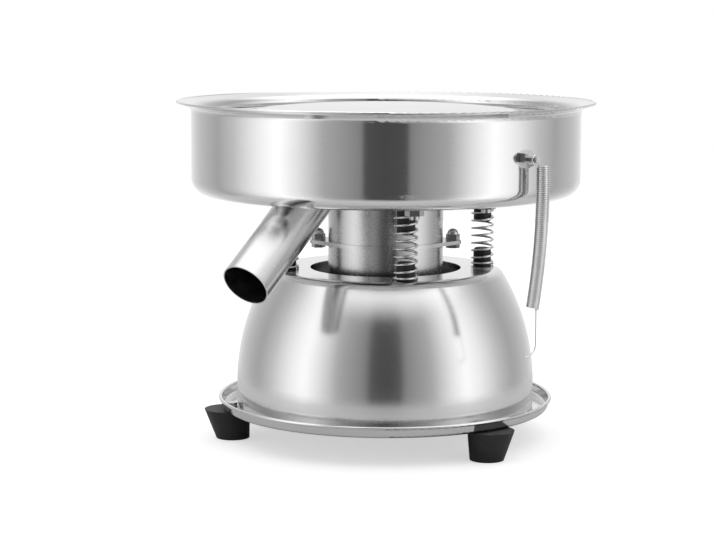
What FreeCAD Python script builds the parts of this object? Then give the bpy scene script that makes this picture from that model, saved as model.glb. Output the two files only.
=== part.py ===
# Tabletop vibrating sieve for flour and spices.
#
# A round sheet-metal pan rides on four compression springs above a domed
# motor cover.  The vibration motor hangs under the pan, in two steel cups
# bolted together at their ears, and reaches down through the dome's hole.
# A sieve (hoop, mesh and clamp ring) and its lid stand in the pan, and what
# passes the mesh leaves through a sloping chute.
#
# Units are millimetres.  The origin is on the floor under the pan's axis,
# +Z is up and -Y is the front.  Azimuths are in degrees from the front,
# growing towards +X.

import FreeCAD, Part
import os
from math import acos, atan2, cos, hypot, pi, radians, sin, sqrt, tan

# ---------------------------------------------------------------- sheet
PAN_SHEET = 1.0
BASE_SHEET = 1.0
MOTOR_SHEET = 1.0
SIEVE_SHEET = 0.8
LID_SHEET = 0.8

# ---------------------------------------------------------------- base
FOOT_HEIGHT = 24.0
FOOT_BOTTOM_RADIUS = 13.5
FOOT_TOP_RADIUS = 18.5
FOOT_BOTTOM_INSET = 7.5
FOOT_TOP_INSET = 3.0
FOOT_AZIMUTHS = (39.3, 159.3, 279.3)
FOOT_RECESS_DEPTH = 8.0
FOOT_RECESS_CLEARANCE = 1.0

TRAY_FLARE = 3.5
TRAY_DEPTH = 9.5
TRAY_BEND = 3.0
TRAY_BEAD_RADIUS = 1.4
FOOT_NUT_CLEARANCE = 0.48
VENT_COUNT = 12
VENT_RADIUS = 3.0
VENT_PITCH = 45.0

DOME_TOP = 138.5
DOME_HOLE_RADIUS = 61.7
DOME_SHOULDER_RADIUS = 94.0
DOME_BASE_RADIUS = 121.8
DOME_KNEE = 92.0
DOME_SHOULDER_BEND = 10.0
DOME_FLANK_BEND = 172.0
DOME_LIP = 11.0
DOME_LIP_BEND = 2.5
DOME_SCREW_COUNT = 4
DOME_SCREW_AZIMUTH = 20.0

GROMMET_HEIGHT = 47.0
GROMMET_HOLE_RADIUS = 5.5
GROMMET_FLANGE_RADIUS = 8.5
GROMMET_FLANGE = 2.0
GROMMET_BORE_RADIUS = 3.3
GROMMET_AZIMUTH = 180.0

CAPACITOR_RADIUS = 14.0
CAPACITOR_LENGTH = 48.0
CAPACITOR_PITCH = 80.0
CAPACITOR_AZIMUTH = 225.0
TERMINAL_RADIUS = 1.6
TERMINAL_LENGTH = 7.0
CLIP_THICKNESS = 1.5
CLIP_WIDTH = 14.0
CLIP_TAB = 14.0

# ---------------------------------------------------------------- pan
PAN_BOTTOM = 200.0
PAN_RADIUS = 158.0
PAN_CORNER = 13.0
PAN_RIM = 275.0
FLANGE_WIDTH = 12.0
FLANGE_RISE = 4.6
FLANGE_BEND = 5.0
FLANGE_BEAD_RADIUS = 0.9

CHUTE_RADIUS = 19.0
CHUTE_SHEET = 1.0
CHUTE_AZIMUTH = -34.0
CHUTE_SLOPE = 36.0
CHUTE_INSET = 47.5
CHUTE_LENGTH = 94.0

# ---------------------------------------------------------------- springs
SPRING_RADIUS = 9.7
SPRING_WIRE = 1.9
SPRING_PITCH_RADIUS = 81.5
SPRING_FIRST_AZIMUTH = 11.2
SPRING_COUNT = 4
SPRING_OPEN_TURNS = 9
SPRING_CLOSED_TURNS = 1
SPRING_CLOSED_PITCH = 1.94
SPRING_FACETS = 10
SPRING_GAP = 0.3
PLUG_RADIUS = 7.3
PLUG_CHAMFER = 1.5
LOWER_PLUG_HEIGHT = 14.5
UPPER_PLUG_HEIGHT = 25.0
STUD_BLIND = 6.0

# ---------------------------------------------------------------- motor
MOTOR_RADIUS = 47.0
MOTOR_JOINT = 159.5
MOTOR_BOTTOM = 92.0
MOTOR_CORNER = 4.0
EAR_FLANGE = 1.5
EAR_PLATE_RADIUS = 48.5
EAR_PITCH = 55.0
EAR_RADIUS = 7.0
CAP_NUT_CROWN = 0.94
MOTOR_SCREW_PITCH = 30.0
MOTOR_SCREW_COUNT = 4
STATOR_TOP = 163.0
STATOR_BOTTOM = 127.0
WINDING_HEIGHT = 10.0
WINDING_OUTER = 41.0
WINDING_INNER = 29.0
WINDING_BEVEL = 0.25
ROTOR_RADIUS = 25.4
AIR_GAP = 0.6
ROTOR_LENGTH = 32.0
SHAFT_RADIUS = 6.0
SHAFT_FIT = 0.03
SHAFT_CHAMFER = 0.8
SHAFT_TOP = 193.0
SHAFT_BOTTOM = 96.0
BEARING_RADIUS = 14.0
BEARING_WIDTH = 8.0
BEARING_GROOVE_DEPTH = 0.5
BEARING_GROOVE_WIDTH = 4.0
BRACKET_PLATE = 4.0
BRACKET_BOSS_RADIUS = 19.0
BRACKET_BOSS = 10.0
BRACKET_SHAFT_CLEARANCE = 2.0
UPPER_BRACKET_TOP = 179.0
LOWER_BRACKET_BOTTOM = 109.0
WEIGHT_RADIUS = 36.0
WEIGHT_HEIGHT = 8.0
WEIGHT_HUB_RADIUS = 11.0
UPPER_WEIGHT_BOTTOM = 182.0
LOWER_WEIGHT_BOTTOM = 98.0
WEIGHT_LEAD = 60.0

# ---------------------------------------------------------------- sieve and lid
HOOP_CLEARANCE = 8.0
HOOP_HEIGHT = 60.0
HOOP_SEAT_GAP = 0.3
HOOP_BEAD_RADIUS = 1.2
MESH_HEIGHT = 30.0
MESH_THICKNESS = 0.8
MESH_SEAT_WIDTH = 4.0
MESH_FIT = 0.1
CLAMP_WIDTH = 4.0
CLAMP_THICKNESS = 1.0

LID_RIM_CLEARANCE = 4.0
LID_STEP = 4.0
LID_STEP_CLEARANCE = 1.6
LID_CROWN_RADIUS = 107.5
LID_CROWN_TOP = 272.9
LID_CROWN_SLOPE = 0.1
LID_SHOULDER_BEND = 6.0
LID_GUTTER_BEND = 2.0
LID_STEP_BEND = 2.5
LID_RIM_BEND = 1.0
LID_CROWN_FLAT = 3.0
LID_SEAT_GAP = 0.05

# ---------------------------------------------------------------- wall studs
STUD_AZIMUTH = 42.0
STUD_HEIGHT = 237.0
STUD_REACH = 13.5
HANGER_REACH = 10.5
HANGER_RADIUS = 5.25
HANGER_WIRE = 1.4
HANGER_LOOP_CLEARANCE = 0.35
HANGER_LENGTH = 108.0
HANGER_BOW = 3.5
HANGER_DRIFT = 9.5
HOOK_WIRE = 1.2
HOOK_DROP = 28.0
HOOK_BEND = 9.0

# ---------------------------------------------------------------- fasteners
# size: shank radius, width across flats, nut height, head radius, head height
M4 = {"shank": 2.0, "flats": 7.0, "nut": 3.2, "head": 4.0, "head_height": 2.4}
M5 = {"shank": 2.5, "flats": 8.0, "nut": 4.0, "head": 4.75, "head_height": 2.8}
M6 = {"shank": 3.0, "flats": 10.0, "nut": 5.0, "head": 6.0, "head_height": 3.4}
M8 = {"shank": 4.0, "flats": 13.0, "nut": 6.5, "head": 7.5, "head_height": 5.3}
STUD_NUT_FLATS = 12.0
STUD_NUT_HEIGHT = 4.5
STUD_HEAD_HEIGHT = 3.0
HEAD_BEVEL = 0.45
HOLE_CLEARANCE = 0.3
BOLT_TIP = 3.0
WASHER_RADIUS = 10.0
WASHER_THICKNESS = 1.6
FLOOR_BOLT_AZIMUTHS = (12.0, 58.0, -99.0, -144.4)
FLOOR_BOLT_RADII = (106.0, 94.0, 110.0, 87.5)

ORIGIN = FreeCAD.Vector(0, 0, 0)
UP = FreeCAD.Vector(0, 0, 1)
DOWN = FreeCAD.Vector(0, 0, -1)

# Heights and radii that several pieces share.  The tray's gutter takes the
# foot nuts beside the dome, and the hoop's lower edge rests in the rounded
# corner of the pan, which centres it.
TRAY_TOP_FACE = FOOT_HEIGHT + BASE_SHEET
FOOT_SCREW_PITCH = DOME_BASE_RADIUS + M5["flats"] / sqrt(3) + FOOT_NUT_CLEARANCE
TRAY_FLOOR_RADIUS = 2 * FOOT_SCREW_PITCH - DOME_BASE_RADIUS + TRAY_BEND / 2
TRAY_RIM_RADIUS = TRAY_FLOOR_RADIUS + TRAY_FLARE
FOOT_BOTTOM_PITCH = TRAY_FLOOR_RADIUS - FOOT_BOTTOM_INSET
FOOT_TOP_PITCH = TRAY_FLOOR_RADIUS - FOOT_TOP_INSET
PAN_FLOOR = PAN_BOTTOM + PAN_SHEET
FLANGE_RADIUS = PAN_RADIUS + FLANGE_WIDTH
CHUTE_PITCH = PAN_RADIUS - CHUTE_INSET
HOOP_RADIUS = PAN_RADIUS - HOOP_CLEARANCE
LID_RIM_RADIUS = PAN_RADIUS - LID_RIM_CLEARANCE
MOTOR_INNER_RADIUS = MOTOR_RADIUS - MOTOR_SHEET
CORNER_REACH = PAN_CORNER - PAN_SHEET - HOOP_SEAT_GAP
HOOP_OVERHANG = HOOP_RADIUS - (PAN_RADIUS - PAN_CORNER)
HOOP_BOTTOM = PAN_BOTTOM + PAN_CORNER - sqrt(CORNER_REACH ** 2 - HOOP_OVERHANG ** 2)
HOOP_TOP = HOOP_BOTTOM + HOOP_HEIGHT
FLOOR_BOLTS = tuple(zip(FLOOR_BOLT_AZIMUTHS, FLOOR_BOLT_RADII))
DOME_SCREW_PITCH = DOME_BASE_RADIUS - BASE_SHEET - DOME_LIP / 2
SPRING_AZIMUTHS = [SPRING_FIRST_AZIMUTH + 360.0 * i / SPRING_COUNT for i in range(SPRING_COUNT)]


# ---------------------------------------------------------------- helpers
def polar(azimuth, radius, height):
    """Point at an azimuth from the front, a radius and a height."""
    a = radians(azimuth)
    return FreeCAD.Vector(radius * sin(a), -radius * cos(a), height)


def outward(azimuth):
    """Unit vector that points away from the axis at an azimuth."""
    return polar(azimuth, 1.0, 0.0)


def sideways(azimuth):
    """Unit vector along the pan's wall, towards growing azimuth."""
    a = radians(azimuth)
    return FreeCAD.Vector(cos(a), sin(a), 0)


def cylinder(radius, height, base, axis=UP):
    return Part.makeCylinder(radius, height, base, axis)


def tube(outer, inner, height, base, axis=UP):
    return cylinder(outer, height, base, axis).cut(cylinder(inner, height, base, axis))


def hexagon(flats, height, base, axis=UP):
    """Hexagonal prism of a width across flats, standing on base along axis."""
    corner = flats / sqrt(3)
    points = [FreeCAD.Vector(corner * cos(k * pi / 3), corner * sin(k * pi / 3), 0)
              for k in range(7)]
    prism = Part.Face(Part.makePolygon(points)).extrude(UP * height)
    prism.Placement = FreeCAD.Placement(base, FreeCAD.Rotation(UP, axis))
    return prism


def group(shapes):
    """Separate solids that share one node."""
    return Part.makeCompound(shapes)


def fuse(shapes):
    first, rest = shapes[0], shapes[1:]
    return first.fuse(rest).removeSplitter() if rest else first


def flat_point(radius, height):
    """Point of a turned profile, in the plane through the axis."""
    return FreeCAD.Vector(radius, 0, height)


def runs_offset(points, distance):
    """Corners of the chain of straight runs parallel to points, on their left."""
    lines = []
    for (r0, z0), (r1, z1) in zip(points, points[1:]):
        length = hypot(r1 - r0, z1 - z0)
        u = ((r1 - r0) / length, (z1 - z0) / length)
        lines.append(((r0 - u[1] * distance, z0 + u[0] * distance), u))
    corners = [lines[0][0]]
    for (p, u), (q, v) in zip(lines, lines[1:]):
        turn = u[0] * v[1] - u[1] * v[0]
        along = ((q[0] - p[0]) * v[1] - (q[1] - p[1]) * v[0]) / turn
        corners.append((p[0] + u[0] * along, p[1] + u[1] * along))
    (q, v) = lines[-1]
    last = points[-1]
    corners.append((last[0] - v[1] * distance, last[1] + v[0] * distance))
    return corners


def turns_left(a, b, c):
    return (b[0] - a[0]) * (c[1] - b[1]) - (b[1] - a[1]) * (c[0] - b[0]) > 0


def rounded_runs(points, bends):
    """Edges of a chain of straight runs, with an arc of each bend at its corner."""
    edges = []
    start = flat_point(*points[0])
    for before, corner, after, bend in zip(points, points[1:], points[2:], bends):
        tip = flat_point(*corner)
        back = (flat_point(*before) - tip).normalize()
        ahead = (flat_point(*after) - tip).normalize()
        half = back.getAngle(ahead) / 2
        reach = bend / tan(half)
        middle = (back + ahead).normalize()
        first, last = tip + back * reach, tip + ahead * reach
        edges.append(Part.LineSegment(start, first).toShape())
        nearest = tip + middle * (bend / sin(half) - bend)
        edges.append(Part.Arc(first, nearest, last).toShape())
        start = last
    edges.append(Part.LineSegment(start, flat_point(*points[-1])).toShape())
    return edges


def turned_sheet(points, bends, thickness):
    """Sheet turned about the axis: points run along its right-hand face."""
    inner = runs_offset(points, thickness)
    inner_bends = []
    for a, b, c, bend in zip(points, points[1:], points[2:], bends):
        inner_bends.append(bend - thickness if turns_left(a, b, c) else bend + thickness)
    near = rounded_runs(points, bends)
    far = rounded_runs(inner[::-1], inner_bends[::-1])
    tip = Part.LineSegment(flat_point(*points[-1]), flat_point(*inner[-1])).toShape()
    root = Part.LineSegment(flat_point(*inner[0]), flat_point(*points[0])).toShape()
    face = Part.Face(Part.Wire(near + [tip] + far + [root]))
    return face.revolve(ORIGIN, UP, 360)


def turned(points):
    """Solid turned about the axis from a closed chain of (radius, height) corners."""
    corners = [flat_point(*p) for p in points]
    return Part.Face(Part.makePolygon(corners + corners[:1])).revolve(ORIGIN, UP, 360)


def bead(ring_radius, radius, height):
    return Part.makeTorus(ring_radius, radius, flat_point(0, height), UP)


def pan_screw(size, grip, seat, axis):
    """Screw with a low bevelled head: seat is under its head, axis points to its tip."""
    back = axis * -1
    rim = size["head_height"] * (1 - HEAD_BEVEL)
    flat_radius = size["head"] - size["head_height"] * HEAD_BEVEL
    head = cylinder(size["head"], rim, seat, back)
    crown = Part.makeCone(size["head"], flat_radius, size["head_height"] - rim, seat + back * rim, back)
    return fuse([head, crown, cylinder(size["shank"], grip, seat, axis)])


def hex_bolt(size, grip, seat, axis):
    """Bolt with a hexagonal head: seat is under its head, axis points to its tip."""
    head = hexagon(size["flats"], size["head_height"], seat, axis * -1)
    return fuse([head, cylinder(size["shank"], grip, seat, axis)])


def hex_nut(size, seat, axis, flats=None, height=None):
    """Nut standing on its seat along axis, bored to the shank."""
    height = height or size["nut"]
    body = hexagon(flats or size["flats"], height, seat, axis)
    return body.cut(cylinder(size["shank"], height, seat, axis))


def drill(shape, size, places, depth, axis=UP):
    """Clearance holes of a screw size, centred on each place along axis."""
    radius = size["shank"] + HOLE_CLEARANCE
    for place in places:
        shape = shape.cut(cylinder(radius, depth, place - axis * (depth / 2), axis))
    return shape


# ---------------------------------------------------------------- base
def foot(azimuth):
    """Tapered rubber foot that leans inwards towards the floor, recessed for its screw."""
    bottom = Part.Wire(Part.makeCircle(FOOT_BOTTOM_RADIUS, polar(azimuth, FOOT_BOTTOM_PITCH, 0)))
    top = Part.Wire(Part.makeCircle(FOOT_TOP_RADIUS, polar(azimuth, FOOT_TOP_PITCH, FOOT_HEIGHT)))
    body = Part.makeLoft([bottom, top], True, True)
    centre = foot_screw_place(azimuth, 0)
    recess = cylinder(M5["head"] + FOOT_RECESS_CLEARANCE, FOOT_RECESS_DEPTH, centre)
    hole = cylinder(M5["shank"], FOOT_HEIGHT, centre)
    return body.cut(recess).cut(hole)


def foot_screw_place(azimuth, height):
    """The foot's screw stands in the gutter between the dome and the tray's wall."""
    return polar(azimuth, FOOT_SCREW_PITCH, height)


def dome_screw_azimuths():
    return [DOME_SCREW_AZIMUTH + 360.0 * i / DOME_SCREW_COUNT for i in range(DOME_SCREW_COUNT)]


def base_tray():
    """Shallow round tray with a rolled rim, screw holes and a ring of vents."""
    rim_height = FOOT_HEIGHT + TRAY_DEPTH - TRAY_BEAD_RADIUS
    bead_centre = TRAY_RIM_RADIUS - TRAY_BEAD_RADIUS
    points = [(0, FOOT_HEIGHT), (TRAY_FLOOR_RADIUS, FOOT_HEIGHT), (bead_centre + BASE_SHEET / 2, rim_height)]
    sheet = turned_sheet(points, [TRAY_BEND], BASE_SHEET)
    tray = fuse([sheet, bead(bead_centre, TRAY_BEAD_RADIUS, rim_height)])
    deep = 4 * BASE_SHEET
    tray = drill(tray, M5, [foot_screw_place(a, FOOT_HEIGHT) for a in FOOT_AZIMUTHS], deep)
    tray = drill(tray, M4, [polar(a, DOME_SCREW_PITCH, FOOT_HEIGHT) for a in dome_screw_azimuths()], deep)
    tray = drill(tray, M4, [capacitor_screw_place(FOOT_HEIGHT)], deep)
    for i in range(VENT_COUNT):
        place = polar(360.0 * i / VENT_COUNT, VENT_PITCH, FOOT_HEIGHT - BASE_SHEET)
        tray = tray.cut(cylinder(VENT_RADIUS, deep, place))
    return tray


def base_dome():
    """Spun motor cover: flat top with the motor's hole, long curved flank, inward lip."""
    lip_edge = DOME_BASE_RADIUS - DOME_LIP
    flank_angle = atan2(DOME_BASE_RADIUS - DOME_SHOULDER_RADIUS, DOME_TOP - DOME_KNEE)
    tangent_room = (DOME_KNEE - TRAY_TOP_FACE - 2 * DOME_LIP_BEND) / tan(flank_angle / 2)
    flank_bend = min(DOME_FLANK_BEND, tangent_room)
    points = [(lip_edge, TRAY_TOP_FACE), (DOME_BASE_RADIUS, TRAY_TOP_FACE), (DOME_BASE_RADIUS, DOME_KNEE),
              (DOME_SHOULDER_RADIUS, DOME_TOP), (DOME_HOLE_RADIUS, DOME_TOP)]
    dome = turned_sheet(points, [DOME_LIP_BEND, flank_bend, DOME_SHOULDER_BEND], BASE_SHEET)
    deep = 4 * BASE_SHEET
    dome = drill(dome, M4, [polar(a, DOME_SCREW_PITCH, TRAY_TOP_FACE) for a in dome_screw_azimuths()], deep)
    dome = drill(dome, M6, [polar(a, SPRING_PITCH_RADIUS, DOME_TOP) for a in SPRING_AZIMUTHS], deep)
    hole = cylinder(GROMMET_HOLE_RADIUS, 2 * GROMMET_FLANGE_RADIUS,
                    polar(GROMMET_AZIMUTH, DOME_BASE_RADIUS - GROMMET_FLANGE_RADIUS, GROMMET_HEIGHT),
                    outward(GROMMET_AZIMUTH))
    return dome.cut(hole)


def cord_grommet():
    """Rubber bush in the dome's rear wall, where the mains lead would enter."""
    axis = outward(GROMMET_AZIMUTH)
    inner = polar(GROMMET_AZIMUTH, DOME_BASE_RADIUS - BASE_SHEET - GROMMET_FLANGE, GROMMET_HEIGHT)
    length = BASE_SHEET + 2 * GROMMET_FLANGE
    body = cylinder(GROMMET_FLANGE_RADIUS, length, inner, axis).cut(base_dome())
    return body.cut(cylinder(GROMMET_BORE_RADIUS, length, inner, axis))


def capacitor_place(height):
    return polar(CAPACITOR_AZIMUTH, CAPACITOR_PITCH, height)


def capacitor_screw_place(height):
    side = CAPACITOR_RADIUS + CLIP_THICKNESS + CLIP_TAB / 2
    return capacitor_place(height) - outward(CAPACITOR_AZIMUTH) * side


def capacitor():
    """Run capacitor lying on the tray's floor, with its two terminals."""
    along = sideways(CAPACITOR_AZIMUTH)
    start = capacitor_place(TRAY_TOP_FACE + CAPACITOR_RADIUS) - along * (CAPACITOR_LENGTH / 2)
    body = cylinder(CAPACITOR_RADIUS, CAPACITOR_LENGTH, start, along)
    end = start + along * CAPACITOR_LENGTH
    spread = outward(CAPACITOR_AZIMUTH) * (CAPACITOR_RADIUS / 2)
    pins = [cylinder(TERMINAL_RADIUS, TERMINAL_LENGTH, end + side, along) for side in (spread, spread * -1)]
    return fuse([body] + pins)


def capacitor_clip():
    """Strap over the capacitor, with a leg on each side and a screwed tab on one."""
    outer = CAPACITOR_RADIUS + CLIP_THICKNESS
    edge = FreeCAD.Vector(0, -CLIP_WIDTH / 2, 0)
    ring = tube(outer, CAPACITOR_RADIUS, CLIP_WIDTH, edge + UP * CAPACITOR_RADIUS, FreeCAD.Vector(0, 1, 0))
    lower_half = Part.makeBox(2 * outer, CLIP_WIDTH, outer, edge + FreeCAD.Vector(-outer, 0, -CLIP_THICKNESS))
    shapes = [ring.cut(lower_half)]
    for left in (-outer, CAPACITOR_RADIUS):
        corner = edge + FreeCAD.Vector(left, 0, 0)
        shapes.append(Part.makeBox(CLIP_THICKNESS, CLIP_WIDTH, CAPACITOR_RADIUS, corner))
    corner = edge - FreeCAD.Vector(outer + CLIP_TAB, 0, 0)
    shapes.append(Part.makeBox(CLIP_TAB, CLIP_WIDTH, CLIP_THICKNESS, corner))
    clip = fuse(shapes)
    clip.rotate(ORIGIN, UP, CAPACITOR_AZIMUTH - 90.0)
    clip.translate(capacitor_place(TRAY_TOP_FACE))
    return drill(clip, M4, [capacitor_screw_place(TRAY_TOP_FACE)], 4 * CLIP_THICKNESS)


def lower_plug(azimuth):
    """Rubber plug on the dome that keeps the spring's foot in place."""
    base = polar(azimuth, SPRING_PITCH_RADIUS, DOME_TOP)
    return rubber_plug(base, UP, LOWER_PLUG_HEIGHT)


def upper_plug(azimuth):
    """Longer rubber plug under the pan, in the spring's upper half."""
    base = polar(azimuth, SPRING_PITCH_RADIUS, PAN_BOTTOM)
    return rubber_plug(base, DOWN, UPPER_PLUG_HEIGHT)


def rubber_plug(base, axis, height):
    straight = height - PLUG_CHAMFER
    body = cylinder(PLUG_RADIUS, straight, base, axis)
    nose = Part.makeCone(PLUG_RADIUS, PLUG_RADIUS - PLUG_CHAMFER, PLUG_CHAMFER, base + axis * straight, axis)
    blind = cylinder(M6["shank"], STUD_BLIND, base, axis)
    return fuse([body, nose]).cut(blind)


def plug_stud(azimuth, face, inside, sheet):
    """Stud bonded in a plug: it passes the sheet and carries a nut."""
    length = STUD_BLIND + sheet + M6["nut"] + BOLT_TIP
    start = polar(azimuth, SPRING_PITCH_RADIUS, face) - inside * STUD_BLIND
    return cylinder(M6["shank"], length, start, inside)


def support_spring(azimuth):
    """Compression spring with a closed turn at each end, as a faceted coil of wire."""
    half = SPRING_WIRE / 2
    centre = polar(azimuth, SPRING_PITCH_RADIUS, DOME_TOP)
    height = PAN_BOTTOM - SPRING_GAP - DOME_TOP
    turns = SPRING_OPEN_TURNS + 2 * SPRING_CLOSED_TURNS
    closed_height = 2 * SPRING_CLOSED_TURNS * SPRING_CLOSED_PITCH
    open_pitch = (height - SPRING_WIRE - closed_height) / SPRING_OPEN_TURNS
    sections = []
    for i in range(turns * SPRING_FACETS + 1):
        t = i / SPRING_FACETS
        opened = min(max(t - SPRING_CLOSED_TURNS, 0), SPRING_OPEN_TURNS)
        z = half + SPRING_CLOSED_PITCH * (t - opened) + open_pitch * opened
        ray = FreeCAD.Vector(cos(2 * pi * t), sin(2 * pi * t), 0)
        inner, outer = ray * (SPRING_RADIUS - SPRING_WIRE), ray * SPRING_RADIUS
        low, high = UP * (z - half), UP * (z + half)
        sections.append([centre + p for p in (inner + low, outer + low, outer + high, inner + high)])
    faces = [flat(sections[0]), flat(sections[-1])]
    for a, b in zip(sections, sections[1:]):
        faces += [flat([a[1], b[1], b[2], a[2]]), flat([a[0], b[0], b[3], a[3]])]
        faces += [flat([a[0], b[0], b[1]]), flat([a[0], b[1], a[1]])]
        faces += [flat([a[3], b[3], b[2]]), flat([a[3], b[2], a[2]])]
    return Part.makeSolid(Part.makeShell(faces))


def flat(points):
    return Part.Face(Part.makePolygon(points + points[:1]))


# ---------------------------------------------------------------- pan
def chute_frame():
    """Where the chute's axis meets the pan's bottom face, and its direction."""
    slope = radians(CHUTE_SLOPE)
    start = polar(CHUTE_AZIMUTH, CHUTE_PITCH, PAN_BOTTOM)
    direction = outward(CHUTE_AZIMUTH) * cos(slope) + DOWN * sin(slope)
    return start, direction


def sieve_pan():
    """Spun pan: flat floor, rounded corner, straight wall, rising flange with a rolled edge."""
    edge = FLANGE_RADIUS - FLANGE_BEAD_RADIUS
    edge_height = PAN_RIM - FLANGE_BEAD_RADIUS
    points = [(0, PAN_BOTTOM), (PAN_RADIUS, PAN_BOTTOM), (PAN_RADIUS, edge_height - FLANGE_RISE),
              (edge, edge_height - PAN_SHEET / 2)]
    pan = turned_sheet(points, [PAN_CORNER, FLANGE_BEND], PAN_SHEET)
    pan = fuse([pan, bead(edge, FLANGE_BEAD_RADIUS, edge_height)])
    deep = 4 * PAN_SHEET
    floor = PAN_BOTTOM + PAN_SHEET / 2
    pan = drill(pan, M5, [polar(a, MOTOR_SCREW_PITCH, floor) for a in motor_screw_azimuths()], deep)
    pan = drill(pan, M6, [polar(a, SPRING_PITCH_RADIUS, floor) for a in SPRING_AZIMUTHS], deep)
    pan = drill(pan, M8, [polar(a, r, floor) for a, r in FLOOR_BOLTS], deep)
    for azimuth in stud_azimuths():
        pan = drill(pan, M5, [polar(azimuth, PAN_RADIUS, STUD_HEIGHT)], deep, outward(azimuth))
    start, direction = chute_frame()
    bore = CHUTE_RADIUS - CHUTE_SHEET
    return pan.cut(cylinder(bore, 4 * CHUTE_RADIUS, start - direction * (2 * CHUTE_RADIUS), direction))


def discharge_chute():
    """Round spout welded to the pan's underside, cut flush with it."""
    start, direction = chute_frame()
    overrun = 2 * CHUTE_RADIUS / tan(radians(CHUTE_SLOPE))
    pipe = tube(CHUTE_RADIUS, CHUTE_RADIUS - CHUTE_SHEET, CHUTE_LENGTH + overrun,
                start - direction * overrun, direction)
    span = 4 * CHUTE_LENGTH
    above = Part.makeBox(2 * span, 2 * span, span)
    above.translate(FreeCAD.Vector(-span, -span, PAN_BOTTOM))
    return pipe.cut(above)


def stud_azimuths():
    return [STUD_AZIMUTH, STUD_AZIMUTH + 180.0]


def motor_screw_azimuths():
    return [360.0 * (i + 0.5) / MOTOR_SCREW_COUNT for i in range(MOTOR_SCREW_COUNT)]


def wall_stud(azimuth):
    """Stud through the pan's wall, its low head inside the pan."""
    axis = outward(azimuth)
    inner = PAN_RADIUS - PAN_SHEET
    seat_radius = sqrt(inner ** 2 - M5["head"] ** 2)
    seat = polar(azimuth, seat_radius, STUD_HEIGHT)
    head = cylinder(M5["head"], STUD_HEAD_HEIGHT, seat, axis * -1)
    return fuse([head, cylinder(M5["shank"], PAN_RADIUS - seat_radius + STUD_REACH, seat, axis)])


def wall_stud_nut(azimuth):
    seat = polar(azimuth, PAN_RADIUS, STUD_HEIGHT)
    return hex_nut(M5, seat, outward(azimuth), STUD_NUT_FLATS, STUD_NUT_HEIGHT)


def floor_bolt(azimuth, radius):
    grip = WASHER_THICKNESS + PAN_SHEET + WASHER_THICKNESS + M8["nut"] + BOLT_TIP
    return hex_bolt(M8, grip, polar(azimuth, radius, PAN_FLOOR + WASHER_THICKNESS), DOWN)


def floor_washers(azimuth, radius):
    """Washers on both faces of the pan's floor."""
    hole = M8["shank"] + HOLE_CLEARANCE
    over = tube(WASHER_RADIUS, hole, WASHER_THICKNESS, polar(azimuth, radius, PAN_FLOOR))
    under = tube(WASHER_RADIUS, hole, WASHER_THICKNESS, polar(azimuth, radius, PAN_BOTTOM - WASHER_THICKNESS))
    return [over, under]


# ---------------------------------------------------------------- motor
def ear_plate(bottom):
    """Flat joint flange with two ears, tangent to the cup and to each ear's end."""
    lean = acos((EAR_PLATE_RADIUS - EAR_RADIUS) / EAR_PITCH)
    big = [FreeCAD.Vector(sx * EAR_PLATE_RADIUS * cos(lean), sy * EAR_PLATE_RADIUS * sin(lean), bottom)
           for sx, sy in ((1, 1), (1, -1), (-1, -1), (-1, 1))]
    small = [FreeCAD.Vector(sx * (EAR_PITCH + EAR_RADIUS * cos(lean)), sy * EAR_RADIUS * sin(lean), bottom)
             for sx, sy in ((1, 1), (1, -1), (-1, -1), (-1, 1))]
    tip = EAR_PITCH + EAR_RADIUS
    edges = [Part.LineSegment(big[0], small[0]).toShape(),
             Part.Arc(small[0], FreeCAD.Vector(tip, 0, bottom), small[1]).toShape(),
             Part.LineSegment(small[1], big[1]).toShape(),
             Part.Arc(big[1], FreeCAD.Vector(0, -EAR_PLATE_RADIUS, bottom), big[2]).toShape(),
             Part.LineSegment(big[2], small[2]).toShape(),
             Part.Arc(small[2], FreeCAD.Vector(-tip, 0, bottom), small[3]).toShape(),
             Part.LineSegment(small[3], big[3]).toShape(),
             Part.Arc(big[3], FreeCAD.Vector(0, EAR_PLATE_RADIUS, bottom), big[0]).toShape()]
    plate = Part.Face(Part.Wire(edges)).extrude(UP * EAR_FLANGE)
    plate = plate.cut(cylinder(MOTOR_INNER_RADIUS, EAR_FLANGE, flat_point(0, bottom)))
    return drill(plate, M6, [ear_place(side, bottom) for side in (-1, 1)], 4 * EAR_FLANGE)


def ear_place(side, height):
    return FreeCAD.Vector(side * EAR_PITCH, 0, height)


def motor_upper_shell():
    """Inverted cup under the pan, with the upper half of the eared joint."""
    points = [(MOTOR_RADIUS, MOTOR_JOINT), (MOTOR_RADIUS, PAN_BOTTOM), (0, PAN_BOTTOM)]
    cup = turned_sheet(points, [MOTOR_CORNER], MOTOR_SHEET)
    cup = fuse([cup, ear_plate(MOTOR_JOINT)])
    deep = 4 * MOTOR_SHEET
    return drill(cup, M5, [polar(a, MOTOR_SCREW_PITCH, PAN_BOTTOM) for a in motor_screw_azimuths()], deep)


def motor_lower_shell():
    """Deeper cup that closes the motor from below, inside the dome."""
    points = [(0, MOTOR_BOTTOM), (MOTOR_RADIUS, MOTOR_BOTTOM), (MOTOR_RADIUS, MOTOR_JOINT)]
    cup = turned_sheet(points, [MOTOR_CORNER], MOTOR_SHEET)
    return fuse([cup, ear_plate(MOTOR_JOINT - EAR_FLANGE)])


def ear_bolt(side):
    grip = 2 * EAR_FLANGE + M6["nut"]
    return hex_bolt(M6, grip, ear_place(side, MOTOR_JOINT - EAR_FLANGE), UP)


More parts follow.
